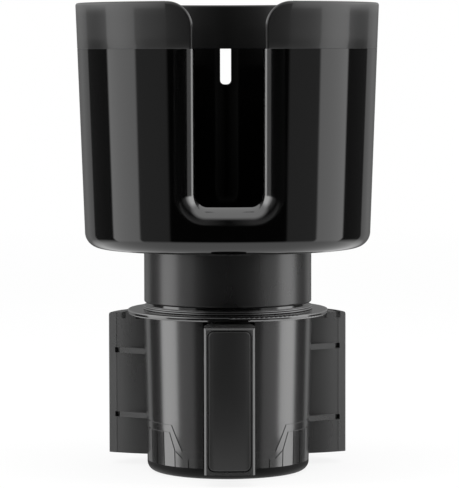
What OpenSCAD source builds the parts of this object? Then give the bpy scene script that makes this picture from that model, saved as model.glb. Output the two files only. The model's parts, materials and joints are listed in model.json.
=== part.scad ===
// Cup holder expander: a large cup with a handle slot on a neck that turns a
// flat scroll, which draws three padded legs in and out of a round base.
// Z is up, the origin is the centre of the base's underside, and the handle
// slot and one leg face -Y. The legs are modelled fully out.

/* [Cup] */
// Outer radius of the cup at the top of its rim
cup_rim_r = 56.8; // [50:0.1:62]
// Outer radius that the cup's wall tapers down to at its underside
cup_base_r = 53.46; // [46:0.1:56]
// Height of the cup from its underside to its rim
cup_h = 91.4; // [80:0.1:110]
// Thickness of the cup's wall
cup_wall = 2.4; // [2:0.1:3]
// Thickness of the cup's floor
cup_floor = 3.2; // [3:0.1:5]
// Radius of the cup's outer bottom edge
cup_edge_r = 4.6; // [3.5:0.1:6]
// Height of the paler rim band
band_h = 17.1; // [12:0.1:22]
// Radius of the band's top edges
band_edge_r = 0.9; // [0.4:0.1:1.1]
// Height of the tongue that the band sits over
tongue_h = 6; // [3:0.5:8]
// Thickness of the tongue
tongue_t = 0.9; // [0.7:0.1:1]
// Gap between the tongue and its groove
tongue_gap = 0.05; // [0.02:0.01:0.1]

/* [Handle slot and vent] */
// Width of the handle slot in the front wall
slot_w = 26.6; // [20:0.1:32]
// Height of the slot's lower edge above the cup's underside
slot_sill = 17.4; // [14:0.1:25]
// Radius of the slot's two lower corners
slot_corner_r = 4.7; // [3:0.1:8]
// Radius of the rounded shoulders where the slot meets the rim
slot_shoulder_r = 9.5; // [6:0.1:12]
// Radius of the lip that rolls inward along the slot
lip_r = 4.6; // [4:0.1:6]
// Width of the vent in the back wall
vent_w = 4.6; // [4.4:0.1:7]
// Height of the vent, down from the rim band
vent_h = 14; // [8:0.1:20]
// Radius of the vent's lower corners
vent_corner_r = 1.5; // [0.5:0.1:2]

/* [Mat and cup screws] */
// Thickness of the soft mat on the cup's floor
mat_t = 1.6; // [1:0.1:2.5]
// Gap between the mat and the cup's inner corner
mat_gap = 0.4; // [0.2:0.1:1]
// Radius of the circle that the cup's screws stand on
cup_screw_circle = 20; // [16:0.5:22]
// Radius of the cup screws' heads
cup_head_r = 2.9; // [2.5:0.1:3.2]
// Height of the cup screws' heads
cup_head_h = 1.7; // [1.2:0.1:2]
// Length of a cup screw under its head
cup_screw_l = 11; // [8:0.5:14]
// Radius of every small screw's shank
shank_r = 1.4; // [1.2:0.1:1.6]
// Gap round the screws' shanks and heads
screw_gap = 0.1; // [0.05:0.01:0.2]

/* [Neck] */
// Outer radius of the neck
neck_r = 31.5; // [30:0.1:32.5]
// Height of the neck
neck_h = 20.8; // [16:0.1:30]
// Thickness of the neck's wall
neck_wall = 2.4; // [1.8:0.1:3]
// Thickness of the web across the neck's lower end
neck_web = 2.4; // [2:0.1:4]
// Radius of the neck's lower outer edge
neck_edge_r = 0.8; // [0.3:0.1:1.2]
// Radius of the screw bosses inside the neck
boss_r = 3.6; // [3.4:0.1:4.2]
// Radius of the circle that the neck's screws stand on
neck_screw_circle = 21; // [16:0.5:22]
// Radius of the neck screws' heads
neck_head_r = 2.6; // [2.2:0.1:3]
// Height of the neck screws' heads
neck_head_h = 1.8; // [1.2:0.1:2.4]
// Length of a neck screw under its head
neck_screw_l = 5.6; // [4:0.1:6]

/* [Scroll disc] */
// Outer radius of the flange over the legs
flange_r = 37.8; // [35:0.1:40]
// Thickness of the flange
flange_t = 1.9; // [1.5:0.1:3]
// Radius of the flange's edge
flange_edge_r = 0.7; // [0.3:0.1:0.7]
// Height of each of the two beads on the flange
bead_h = 0.7; // [0.6:0.1:0.8]
// Radius of the beads' round faces
bead_r = 0.4; // [0.4:0.05:0.5]
// Outer radius of the beads
bead_ring_r = 31.9; // [31.2:0.1:33]
// Height of the shadow gap under the neck
shadow_gap = 1.1; // [0.5:0.1:1.5]
// Radius of the disc inside the shadow gap
shadow_r = 30.4; // [29:0.1:31]
// Pitch of the scroll, which is the legs' travel for one turn
scroll_pitch = 6; // [5.6:0.1:6.4]
// Thickness of the scroll's ridge
ridge_t = 0.8; // [0.6:0.1:0.9]
// Turns of the scroll's ridge
ridge_turns = 1.12; // [1.05:0.01:1.15]
// Gap between the ridge's tip and the bottom of a notch
ridge_tip_gap = 0.3; // [0.2:0.1:0.6]

/* [Pivot] */
// Radius of the pivot stem under the disc
stem_r = 3; // [2.6:0.1:3.2]
// Running gap round the stem
stem_gap = 0.06; // [0.03:0.01:0.1]
// Radius of the base's centre post and of the disc's hub
post_r = 4.9; // [4.6:0.1:5]
// Height of the hub under the disc
hub_h = 8; // [5:0.5:12]
// Thickness of the friction washer between post and hub
friction_t = 0.6; // [0.4:0.1:1]
// Depth of the pocket in the post's foot that holds the keeper
keeper_pocket = 6; // [4.5:0.1:8]
// Radius of that pocket
keeper_pocket_r = 4; // [3.8:0.1:4.1]
// Thickness of the keeper washer
keeper_t = 0.8; // [0.5:0.1:1.2]
// Radius of the keeper screw's head
keeper_head_r = 2.5; // [2:0.1:3]
// Height of the keeper screw's head
keeper_head_h = 1.8; // [1.2:0.1:2]
// Length of the keeper screw under its head
keeper_screw_l = 10; // [6:0.5:14]
// Gap that lets the keeper turn in the post's foot
keeper_gap = 0.1; // [0.05:0.01:0.3]

/* [Base] */
// Outer radius at the top of the base
base_top_r = 31.75; // [30.5:0.05:33]
// Outer radius at the seam with the bottom cover
base_low_r = 30.5; // [29.5:0.05:31]
// Thickness of the base's wall
base_wall = 2.2; // [1.8:0.1:2.4]
// Thickness of the base's floor
base_floor = 2.2; // [1.8:0.1:2.4]
// Height of the seam between base and bottom cover
cover_h = 4.1; // [3.9:0.1:6]
// Radius of the bottom cover's outer edge
cover_edge_r = 3.4; // [2:0.1:3.8]
// Thickness of the bottom cover's rim
cover_rim_t = 1.2; // [1:0.1:1.5]
// Gap between the base's floor and the bottom cover's rim
cover_gap = 0.15; // [0.05:0.01:0.3]
// Thickness of the guide walls beside the legs
guide_t = 1.8; // [1.4:0.1:2.2]
// Radius of the circle that the cover's screws stand on
cover_screw_circle = 20.5; // [19:0.5:22]
// Radius of the cover screws' heads
cover_head_r = 2.6; // [2.2:0.1:3]
// Height of the cover screws' heads
cover_head_h = 1; // [0.8:0.1:1.2]
// Length of a cover screw under its head
cover_screw_l = 9; // [7:0.5:12]
// Radius of the bosses that the cover's screws bite into
cover_boss_r = 3.2; // [3:0.1:4]
// Height of those bosses above the floor
cover_boss_h = 10; // [8.5:0.5:14]
// Depth of the fine grooves round the base's foot
groove_depth = 0.3; // [0.1:0.05:0.5]
// Width of those grooves
groove_w = 0.4; // [0.2:0.05:0.6]
// Height of the upper groove half way between two legs
groove_high = 19.7; // [16:0.1:24]
// Height of the upper groove beside the legs
groove_low = 10.3; // [8.6:0.1:14]
// Drop from the upper to the lower groove
groove_drop = 2.8; // [1.5:0.1:3.5]

/* [Legs] */
// Width of a leg
leg_w = 18.4; // [16:0.1:19]
// Height of a leg
leg_h = 53.9; // [45:0.1:60]
// Radius of a leg's outer face, which is curved as the base is
face_r = 31.6; // [30.5:0.05:32]
// How far a leg slides
leg_travel = 17; // [10:0.1:17]
// Radius of a leg's inner end with the legs drawn in
leg_inner_r = 5.3; // [5.3:0.1:5.4]
// Thickness of a leg's face plate
plate_t = 3.4; // [3:0.1:5]
// Radius of the face plate's top edge
plate_edge_r = 1.4; // [0.5:0.1:2]
// Chamfer of the face plate's upright edges
plate_chamfer = 0.5; // [0.2:0.1:0.8]
// Thickness left under the notches along a leg's top
strip_t = 2.4; // [2:0.1:4]
// Thickness of the sole along a leg's underside
sole_t = 1.3; // [1:0.1:2]
// Thickness of a leg's curved side webs
web_t = 1.6; // [1.2:0.1:2]
// Half width of the webs at the inner end
web_inner_w = 3.4; // [3:0.1:4]
// Depth of the webs' setback at the face plate
web_setback = 0.1; // [0.05:0.05:0.3]
// Depth of a notch in the strip
notch_depth = 2.3; // [2:0.1:2.3]
// Width of a notch
notch_w = 1.8; // [1.75:0.05:2.2]
// Radius of the front leg's outermost notch with the legs drawn in
notch_r = 26.8; // [26.6:0.1:26.8]
// Thickness of the guide ribs on a leg's sides
rib_t = 2.1; // [1.5:0.1:3]
// Height of the lower guide rib above the leg's sole
rib_low = 14.2; // [10:0.1:18]
// Distance of the front leg's upper guide rib below the leg's top
rib_drop = 13.7; // [11:0.1:18]
// How far the other legs' ribs are shifted, which tells right from left
rib_key = 0.7; // [0:0.1:2]
// Distance of the square holes from the face plate's edge
hole_inset = 3.9; // [3.8:0.1:5]
// Side of the square holes that the ribs start from
hole_s = 2; // [1.4:0.1:2.1]
// Gap between a leg and its channel, floor and neighbours
slide_gap = 0.3; // [0.2:0.05:0.4]
// Gap between the legs' tops and the flange
leg_head_gap = 0.8; // [0.6:0.1:1.5]
// Running gap between the base's rim and the flange
rim_gap = 0.4; // [0.3:0.1:0.6]

/* [Pads] */
// Width of the rubber pad's pocket
pocket_w = 16; // [14:0.1:16]
// Height of the rubber pad's pocket
pocket_h = 51.5; // [40:0.1:51.5]
// Corner radius of the pocket
pocket_corner_r = 2.3; // [1.5:0.1:4]
// Depth of the pocket
pocket_depth = 1.3; // [0.8:0.1:1.8]
// Width of the groove between pad and pocket
pad_gap = 0.4; // [0.2:0.05:0.6]
// How far the pad stands proud of the face
pad_proud = 0.15; // [0:0.05:0.5]

/* [Hidden] */
$fn = 96;
eps = 0.01;
far = 200;

LEGS = 3;
FRONT = 0;
RIGHT = FRONT + 1;
LEFT = RIGHT + 1;

// Heights from the base's underside upward.
leg_z = cover_h + slide_gap;
leg_top = leg_z + leg_h;
flange_z = leg_top + leg_head_gap;
base_top = flange_z - rim_gap;
flange_top = flange_z + flange_t;
beads_top = flange_top + 2 * bead_h;
neck_z = beads_top + shadow_gap;
cup_z = neck_z + neck_h;
rim_z = cup_z + cup_h;
band_z = rim_z - band_h;
notch_z = leg_top - notch_depth;
ridge_z = notch_z + ridge_tip_gap;
cup_floor_z = cup_z + cup_floor;

// The cup's wall leans outward by this much for each millimetre of height.
cup_lean = (cup_rim_r - cup_base_r) / cup_h;
function cup_r(z) = cup_base_r + cup_lean * (z - cup_z);

// The base's wall leans outward too.
base_lean = (base_top_r - base_low_r) / (base_top - cover_h);
base_bore_low = base_low_r - base_wall;
base_bore_top = base_top_r - base_wall;

channel_w = leg_w + 2 * slide_gap;
guide_top = ridge_z - ridge_tip_gap;
floor_r = base_low_r - cover_rim_t - cover_gap;
cover_floor_t = cover_h - base_floor;

// The scroll's ridge ends a running gap inside the base's wall.
ridge_end_r = base_bore_top - slide_gap - ridge_t / 2;
ridge_start_r = ridge_end_r - ridge_turns * scroll_pitch;
ridge_mean_r = (ridge_start_r + ridge_end_r) / 2;
ridge_step = 7.5;
ridge_steps = ceil(ridge_turns * 360 / ridge_step);
// Direction, counted from the front, where the ridge has radius r.
function ridge_angle(r) = 360 * (r - notch_r - leg_travel) / scroll_pitch;

post_top = flange_z - hub_h - friction_t;
keeper_z = cover_h - base_floor + keeper_pocket;
stem_end = keeper_z - keeper_gap;

// A leg's webs start in the face plate and curve in to the leg's inner end.
face_corner_x = sqrt(pow(face_r, 2) - pow(leg_w / 2, 2));
web_outer_x = face_corner_x - plate_t / 2;
web_outer_w = leg_w / 2 - web_setback;
web_run = web_outer_x - leg_inner_r;
web_draw = web_outer_w - web_inner_w;
web_r = (pow(web_run, 2) + pow(web_draw, 2)) / (2 * web_draw);

// Shared shapes

// Puts its children, drawn along +X, on the leg of this index.
module toward_leg(i) rotate(i * 360 / LEGS - 90) children();

// Puts its children, drawn along +X, half way between two legs.
module between_legs() for (i = [0 : LEGS - 1])
    rotate((i + 0.5) * 360 / LEGS - 90) children();

// A rectangle with round corners, centred on the origin.
module rounded_rect(w, h, r) {
    square([w - 2 * r, h], center = true);
    square([w, h - 2 * r], center = true);
    for (x = [-1, 1], y = [-1, 1])
        translate([x * (w / 2 - r), y * (h / 2 - r)]) circle(r);
}

// Half profile of a leaning cup: its solid outline from the axis out.
module cup_outline(r, edge, h) {
    slope = sqrt(1 + pow(cup_lean, 2));
    centre = r + cup_lean * edge - edge * slope;
    polygon([[0, 0], [centre, 0], [centre, edge],
        [centre + edge / slope, edge - edge * cup_lean / slope],
        [r + cup_lean * h, h], [0, h]]);
    translate([centre, edge]) circle(edge);
}

// A screw that points down, its head's underside at z = 0.
module screw(head_r, head_h, length) {
    difference() {
        cylinder(r = head_r, h = head_h);
        translate([0, 0, head_h / 2]) cross_recess(head_r, head_h);
    }
    translate([0, 0, -length]) cylinder(r = shank_r, h = length + eps);
}

// The cross-shaped recess for a driver.
module cross_recess(head_r, depth) for (a = [0, 90]) rotate(a)
    translate([-head_r * 0.6, -head_r * 0.14, 0])
        cube([head_r * 1.2, head_r * 0.28, depth]);

// Outline of the handle slot, seen from the front, grown by a margin.
module slot_outline(grow, top) {
    half = slot_w / 2 + grow;
    r = slot_corner_r + grow;
    sill = cup_z + slot_sill - grow;
    translate([-half, sill + r]) square([2 * half, top - sill - r]);
    translate([-half + r, sill]) square([2 * (half - r), r + eps]);
    for (x = [-1, 1]) translate([x * (half - r), sill + r]) circle(r);
}

// Turns a front view into a cut through the front wall.
module through_front() translate([0, -far, 0]) rotate([-90, 0, 0])
    mirror([0, 1, 0]) linear_extrude(far) children();

// Cup

// Path of the slot's edge as [x, z, direction away from the slot].
slot_half = slot_w / 2;
sill_z = cup_z + slot_sill;
corner_step = 15;
lip_top = band_z + 1;
function lip_corner(side, angles) = [for (a = angles)
    [side * (slot_half - slot_corner_r) + slot_corner_r * cos(a),
     sill_z + slot_corner_r + slot_corner_r * sin(a), a]];
lip_path = concat(
    [[-slot_half, lip_top, 180]],
    lip_corner(-1, [180 : corner_step : 270]),
    [for (k = [-2 : 2]) [k / 3 * (slot_half - slot_corner_r), sill_z, 270]],
    lip_corner(1, [270 : corner_step : 360]),
    [[slot_half, lip_top, 360]]);

// Section of the lip as [distance from the slot, depth under the wall's face].
// Its root lies inside the wall, and its faces start a hair below the wall's.
lip_root = 0.6;
lip_inset = 0.4;
lip_hair = 0.1;
lip_angle = 15;
lip_centre = lip_r + lip_hair;
function lip_arc(r, a) = [lip_centre - r * sin(a), lip_centre - r * cos(a)];
lip_section = concat(
    [for (a = [0 : lip_angle : 90]) lip_arc(lip_r, a)],
    [for (a = [90 : -lip_angle : 0])
        lip_arc(lip_r - cup_wall + 2 * lip_hair, a)],
    [[lip_centre + lip_root, cup_wall - lip_inset],
     [lip_centre + lip_root, lip_inset]]);

// A point of the lip, on the cup's leaning and curved wall.
function lip_point(station, s) = let (
    x = station[0] + cos(station[2]) * s[0],
    z = station[1] + sin(station[2]) * s[0],
    turn = asin(x / cup_r(z)),
    r = cup_r(z) - s[1])
    [r * sin(turn), -r * cos(turn), z];

module slot_lip() {
    n = len(lip_section);
    rows = len(lip_path);
    polyhedron(
        points = [for (station = lip_path, s = lip_section)
            lip_point(station, s)],
        faces = concat(
            [[for (k = [n - 1 : -1 : 0]) k]],
            [for (row = [0 : rows - 2], k = [0 : n - 1])
                let (a = row * n + k, b = row * n + (k + 1) % n)
                [a, b, b + n]],
            [for (row = [0 : rows - 2], k = [0 : n - 1])
                let (a = row * n + k, b = row * n + (k + 1) % n)
                [a, b + n, a + n]],
            [[for (k = [0 : n - 1]) (rows - 1) * n + k]]));
}

// Half profile of the tongue, which leans as the wall does, grown by a gap to
// cut its groove.
module tongue_profile(gap) {
    root = 1;
    low = cup_r(band_z - root) - cup_wall / 2;
    high = cup_r(band_z + tongue_h + gap) - cup_wall / 2;
    half = tongue_t / 2 + gap;
    polygon([[low - half, band_z - root], [low + half, band_z - root],
        [high + half, band_z + tongue_h + gap],
        [high - half, band_z + tongue_h + gap]]);
}

module cup_shell() color([0.05, 0.05, 0.055]) {
    difference() {
        union() {
            difference() {
                rotate_extrude() difference() {
                    translate([0, cup_z])
                        cup_outline(cup_base_r, cup_edge_r, cup_h);
                    translate([0, cup_floor_z])
                        cup_outline(cup_r(cup_floor_z) - cup_wall,
                            cup_edge_r - cup_wall, cup_h);
                }
                through_front() slot_outline(lip_r, rim_z + 1);
            }
            slot_lip();
        }
        // The wall stops at the band, and its tongue goes on.
        translate([0, 0, band_z]) cylinder(r = far, h = far);
        // The vent ends at the rim band.
        translate([0, far, band_z - vent_h / 2]) rotate([90, 0, 0])
            linear_extrude(far) union() {
                rounded_rect(vent_w, vent_h, vent_corner_r);
                translate([-vent_w / 2, 0]) square([vent_w, vent_h / 2]);
            }
        for (i = [0 : LEGS - 1]) toward_leg(i)
            translate([cup_screw_circle, 0, cup_floor_z]) {
                translate([0, 0, -cup_head_h - screw_gap])
                    cylinder(r = cup_head_r + screw_gap, h = cup_head_h + 1);
                translate([0, 0, -cup_floor - 1])
                    cylinder(r = shank_r + screw_gap, h = cup_floor + 1);
            }
    }
    difference() {
        rotate_extrude() tongue_profile(0);
        through_front() slot_outline(lip_r + lip_root, rim_z + 1);
    }
}

module rim_band() color([0.2, 0.2, 0.2]) difference() {
    rotate_extrude() difference() {
        translate([0, band_z]) {
            wall = cup_wall;
            outer = cup_r(band_z);
            lean = cup_lean * band_h;
            polygon([[outer - wall, 0], [outer, 0],
                [outer + lean, band_h - band_edge_r],
                [outer + lean - band_edge_r, band_h],
                [outer + lean - wall + band_edge_r, band_h],
                [outer + lean - wall, band_h - band_edge_r]]);
            for (x = [outer + lean - band_edge_r,
                    outer + lean - wall + band_edge_r])
                translate([x, band_h - band_edge_r]) circle(band_edge_r);
        }
        tongue_profile(tongue_gap);
    }
    through_front() {
        slot_outline(0, rim_z + 1);
        shoulder = slot_shoulder_r;
        for (x = [-1, 1]) difference() {
            translate([x * (slot_half + shoulder / 2), rim_z - shoulder / 2 + 1])
                square([shoulder + 2 * eps, shoulder + 2], center = true);
            translate([x * (slot_half + shoulder), rim_z - shoulder])
                circle(shoulder);
            translate([x * (slot_half + shoulder / 2), rim_z - shoulder - 1])
                square([shoulder + 1, 2], center = true);
        }
    }
}

module floor_mat() color([0.12, 0.12, 0.12])
    translate([0, 0, cup_floor_z])
        cylinder(r = cup_r(cup_floor_z) - cup_wall - (cup_edge_r - cup_wall)
            - mat_gap, h = mat_t);

module cup_screws() color("silver") for (i = [0 : LEGS - 1]) toward_leg(i)
    translate([cup_screw_circle, 0, cup_floor_z - cup_head_h - screw_gap])
        screw(cup_head_r, cup_head_h, cup_screw_l);

// Neck

module neck_sleeve() color([0.08, 0.08, 0.085]) difference() {
    union() {
        rotate_extrude() {
            translate([0, neck_z]) square([neck_r - neck_edge_r, neck_web]);
            translate([neck_r - neck_wall, neck_z + neck_edge_r])
                square([neck_wall, neck_h - neck_edge_r]);
            translate([neck_r - neck_wall, neck_z])
                square([neck_wall - neck_edge_r, neck_h]);
            translate([neck_r - neck_edge_r, neck_z + neck_edge_r])
                circle(neck_edge_r);
        }
        for (i = [0 : LEGS - 1]) toward_leg(i)
            translate([cup_screw_circle, 0, neck_z])
                cylinder(r = boss_r, h = neck_h);
    }
    for (i = [0 : LEGS - 1]) toward_leg(i)
        translate([cup_screw_circle, 0, neck_z + neck_web + 1])
            cylinder(r = shank_r + screw_gap, h = neck_h);
    between_legs() translate([neck_screw_circle, 0, neck_z - 1])
        cylinder(r = shank_r + screw_gap, h = neck_web + 2);
}

module neck_screws() color("silver") between_legs()
    translate([neck_screw_circle, 0, neck_z + neck_web])
        screw(neck_head_r, neck_head_h, neck_screw_l);

// Scroll disc

// The flat spiral, its radius growing anticlockwise as seen from above.
module scroll_ridge() {
    first = ridge_angle(ridge_start_r) - 90;
    function spiral(side) = [for (k = [0 : ridge_steps])
        let (a = min(k * ridge_step, ridge_turns * 360),
            r = ridge_start_r + scroll_pitch * a / 360 + side * ridge_t / 2)
        [r * cos(first + a), r * sin(first + a)]];
    inner = spiral(-1);
    outer = spiral(1);
    translate([0, 0, ridge_z]) linear_extrude(flange_z - ridge_z + eps)
        polygon(concat(inner, [for (k = [len(outer) - 1 : -1 : 0]) outer[k]]));
}

module scroll_disc() color([0.1, 0.1, 0.105]) difference() {
    union() {
        rotate_extrude() {
            translate([0, flange_z]) square([flange_r - flange_edge_r, flange_t]);
            translate([0, flange_z + flange_edge_r])
                square([flange_r, flange_t - 2 * flange_edge_r]);
            for (z = [flange_edge_r, flange_t - flange_edge_r])
                translate([flange_r - flange_edge_r, flange_z + z])
                    circle(flange_edge_r);
            translate([0, flange_top - eps])
                square([bead_ring_r - bead_r, 2 * bead_h + eps]);
            for (k = [0.5, 1.5])
                translate([bead_ring_r - bead_r, flange_top + k * bead_h])
                    circle(bead_r);
            translate([0, flange_top]) square([shadow_r, neck_z - flange_top]);
        }
        translate([0, 0, flange_z - hub_h])
            cylinder(r = post_r, h = hub_h + eps);
        translate([0, 0, stem_end])
            cylinder(r = stem_r, h = flange_z - stem_end);
        scroll_ridge();
    }
    between_legs() translate([neck_screw_circle, 0, neck_z - neck_screw_l])
        cylinder(r = shank_r + screw_gap, h = neck_screw_l + 1);
    translate([0, 0, stem_end - 1])
        cylinder(r = shank_r + screw_gap, h = keeper_screw_l + 1);
}

module friction_washer() color("gainsboro") translate([0, 0, post_top])
    difference() {
        cylinder(r = post_r, h = friction_t);
        translate([0, 0, -1]) cylinder(r = stem_r + stem_gap, h = friction_t + 2);
    }

module keeper_washer() color("silver")
    translate([0, 0, stem_end - keeper_t]) difference() {
        cylinder(r = keeper_pocket_r - keeper_gap, h = keeper_t);
        translate([0, 0, -1])
            cylinder(r = shank_r + screw_gap, h = keeper_t + 2);
    }

module keeper_screw() color("silver")
    translate([0, 0, stem_end - keeper_t]) mirror([0, 0, 1])
        screw(keeper_head_r, keeper_head_h, keeper_screw_l);

// Base

// The three channels that the legs slide in, upward from a height.
module channels(width, z) for (i = [0 : LEGS - 1]) toward_leg(i)
    translate([0, -width / 2, z]) cube([far, width, far]);

// A straight groove in a side view of the base, from one point to another.
module groove_line(p, q) {
    along = (q - p) / norm(q - p) * groove_w / 2;
    across = [-along[1], along[0]];
    polygon([p - along - across, q + along - across, q + along + across,
        p - along + across]);
}

// Side view of the grooves on one stretch of wall between two legs: two
// stepped lines, and uprights from the lower one down to the seam.
module groove_view() {
    half = base_low_r * sin(180 / LEGS);
    end = 0.8 * half;
    upper_knee = 0.33 * half;
    lower_knee = 0.29 * half;
    inner_post = 0.17 * half;
    middle_post = 0.38 * half;
    outer_post = 0.59 * half;
    foot = 0.5 * half;
    drop_high = groove_high - groove_drop;
    drop_low = groove_low - groove_drop;
    for (s = [-1, 1]) {
        upper = [[0, groove_high], [s * upper_knee, groove_high],
            [s * foot, groove_low], [s * end, groove_low]];
        lower = [[0, drop_high], [s * lower_knee, drop_high],
            [s * middle_post, groove_low], [s * foot, drop_low],
            [s * end, drop_low]];
        for (line = [upper, lower], k = [0 : len(line) - 2])
            groove_line(line[k], line[k + 1]);
        for (post = [[inner_post, drop_high], [middle_post, groove_low],
                [outer_post, drop_low]])
            groove_line([s * post[0], 0], [s * post[0], post[1]]);
    }
    groove_line([0, 0], [0, drop_high]);
}

module base_grooves() difference() {
    between_legs() rotate([90, 0, 90]) linear_extrude(far) groove_view();
    translate([0, 0, cover_h - 1])
        cylinder(r1 = base_low_r - groove_depth - base_lean,
            r2 = base_top_r - groove_depth, h = base_top - cover_h + 1);
    translate([0, 0, -far]) cylinder(r = far, h = far + cover_h - eps);
}

module base_housing() color([0.07, 0.07, 0.075]) difference() {
    union() {
        difference() {
            translate([0, 0, cover_h])
                cylinder(r1 = base_low_r, r2 = base_top_r,
                    h = base_top - cover_h);
            translate([0, 0, cover_h - eps])
                cylinder(r1 = base_bore_low, r2 = base_bore_top,
                    h = base_top - cover_h + 2 * eps);
            channels(channel_w, cover_h);
        }
        translate([0, 0, cover_h - base_floor])
            cylinder(r = floor_r, h = base_floor);
        // Guide walls, which close into three hollow wedges.
        difference() {
            translate([0, 0, cover_h - eps])
                cylinder(r = floor_r, h = guide_top - cover_h + eps);
            channels(channel_w, cover_h);
            difference() {
                cylinder(r = base_bore_low, h = far);
                channels(channel_w + 2 * guide_t, -1);
            }
        }
        translate([0, 0, cover_h - eps]) cylinder(r = post_r,
            h = post_top - cover_h + eps);
        between_legs() translate([cover_screw_circle, 0, cover_h - eps])
            cylinder(r = cover_boss_r, h = cover_boss_h + eps);
    }
    translate([0, 0, -1]) cylinder(r = stem_r + stem_gap, h = base_top);
    translate([0, 0, -1]) cylinder(r = keeper_pocket_r, h = keeper_z + 1);
    between_legs() translate([cover_screw_circle, 0, -1])
        cylinder(r = shank_r + screw_gap,
            h = cover_h + cover_boss_h - guide_t + 1);
    base_grooves();
}

module bottom_cover() color([0.02, 0.02, 0.02]) difference() {
    rotate_extrude() difference() {
        intersection() {
            square([base_low_r, cover_h]);
            union() {
                square([base_low_r - cover_edge_r, cover_h]);
                translate([0, cover_edge_r]) square([base_low_r, cover_h]);
                translate([base_low_r - cover_edge_r, cover_edge_r])
                    circle(cover_edge_r);
            }
        }
        translate([0, cover_floor_t]) square([floor_r + cover_gap, cover_h]);
    }
    between_legs() translate([cover_screw_circle, 0, -1]) {
        cylinder(r = shank_r + screw_gap, h = cover_h);
        cylinder(r = cover_head_r + screw_gap, h = 1 + cover_head_h);
    }
}

module cover_screws() color("silver") between_legs()
    translate([cover_screw_circle, 0, cover_head_h]) mirror([0, 0, 1])
        screw(cover_head_r, cover_head_h, cover_screw_l);

// Legs

// Outer radius of each leg's outermost notch with the legs drawn in.
function leg_phase(i) = i == FRONT ? 0 : i == RIGHT ? 1 / 3 : -1 / 3;

// Plan of a leg, drawn in, out to its curved face.
module leg_plan() intersection() {
    circle(face_r);
    translate([leg_inner_r, -leg_w / 2]) square([far, leg_w]);
    // The inner corners keep clear of the neighbouring legs.
    translate([slide_gap / sin(180 / LEGS) * 1.5, 0]) for (s = [-1, 1])
        polygon([[0, -s * eps], [far, -s * eps],
            [far, s * far * tan(180 / LEGS)]]);
    // Chamfers on the face plate's upright edges.
    rotate(45) square(2 * (face_corner_x + leg_w / 2 - plate_chamfer)
        / sqrt(2), center = true);
}

// Plan between the webs' outer faces, or between their inner faces.
module web_plan(inset) intersection() {
    translate([web_outer_x, web_outer_w - web_r]) circle(web_r - inset);
    translate([web_outer_x, web_r - web_outer_w]) circle(web_r - inset);
    translate([leg_inner_r, -leg_w / 2]) square([web_run, leg_w]);
}

// Plan of one notch: a stretch of the scroll's own curve.
module notch_plan() {
    reach = 28;
    step = 7;
    function edge(side) = [for (a = [-reach : step : reach])
        let (r = ridge_mean_r + scroll_pitch * a / 360 + side * notch_w / 2)
        [r * cos(a) - ridge_mean_r, r * sin(a)]];
    inner = edge(-1);
    outer = edge(1);
    polygon(concat(inner, [for (k = [len(outer) - 1 : -1 : 0]) outer[k]]));
}

// The leg's height with its face's top edge rounded.
module leg_envelope() translate([0, 0, leg_z]) rotate_extrude() {
    square([face_r - plate_edge_r, leg_h]);
    square([face_r, leg_h - plate_edge_r]);
    translate([face_r - plate_edge_r, leg_h - plate_edge_r])
        circle(plate_edge_r);
}

module pad_outline(shrink) rounded_rect(pocket_w - 2 * shrink,
    pocket_h - 2 * shrink, pocket_corner_r - shrink / 2);

// The pad's block in the face, from one radius to another.
module pad_block(shrink, inner_r, outer_r) intersection() {
    translate([0, 0, leg_z + leg_h / 2]) rotate([90, 0, 90])
        linear_extrude(far) pad_outline(shrink);
    translate([0, 0, leg_z]) difference() {
        cylinder(r = outer_r, h = leg_h);
        translate([0, 0, -1]) cylinder(r = inner_r, h = leg_h + 2);
    }
}

module leg_body(i) {
    key = i == FRONT ? 0 : i == RIGHT ? rib_key : -rib_key;
    rib_heights = [rib_low - key, leg_h - rib_drop + key];
    outer_notch = notch_r + leg_phase(i) * scroll_pitch;
    hole_x = face_corner_x - hole_inset;
    difference() {
        intersection() {
            union() {
                translate([0, 0, leg_z]) linear_extrude(leg_h) difference() {
                    web_plan(0);
                    web_plan(web_t);
                }
                // Face plate.
                translate([0, 0, leg_z]) linear_extrude(leg_h) difference() {
                    leg_plan();
                    circle(face_r - plate_t);
                }
                // Notched top and sole.
                translate([0, 0, notch_z - strip_t])
                    linear_extrude(strip_t + notch_depth) web_plan(0);
                translate([0, 0, leg_z]) linear_extrude(sole_t) web_plan(0);
                for (z = rib_heights)
                    translate([0, 0, leg_z + z - rib_t / 2])
                        linear_extrude(rib_t) intersection() {
                            leg_plan();
                            square([2 * (hole_x + hole_s / 2), far],
                                center = true);
                        }
            }
            leg_envelope();
        }
        pad_block(0, face_r - pocket_depth, face_r + 1);
        for (k = [0 : floor((outer_notch - leg_inner_r - notch_w / 2)
                / scroll_pitch)])
            translate([outer_notch - k * scroll_pitch, 0, notch_z])
                linear_extrude(far) notch_plan();
        for (z = rib_heights)
            translate([hole_x, 0, leg_z + z])
                cube([hole_s, leg_w + 2, hole_s], center = true);
    }
}

module leg(i) color([0.09, 0.09, 0.095]) toward_leg(i)
    translate([leg_travel, 0, 0]) leg_body(i);

module pad(i) color([0.06, 0.06, 0.06]) toward_leg(i)
    translate([leg_travel, 0, 0])
        pad_block(pad_gap, face_r - pocket_depth, face_r + pad_proud);

cup_shell();
rim_band();
floor_mat();
cup_screws();
neck_sleeve();
neck_screws();
scroll_disc();
friction_washer();
keeper_washer();
keeper_screw();
base_housing();
bottom_cover();
cover_screws();
leg(FRONT);  // leg_front
leg(RIGHT);  // leg_right
leg(LEFT);  // leg_left
pad(FRONT);  // pad_front
pad(RIGHT);  // pad_right
pad(LEFT);  // pad_left
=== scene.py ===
# Cup holder expander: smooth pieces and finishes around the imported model.
# All lengths below are in metres; MM turns the part source's millimetres into them.

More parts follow.
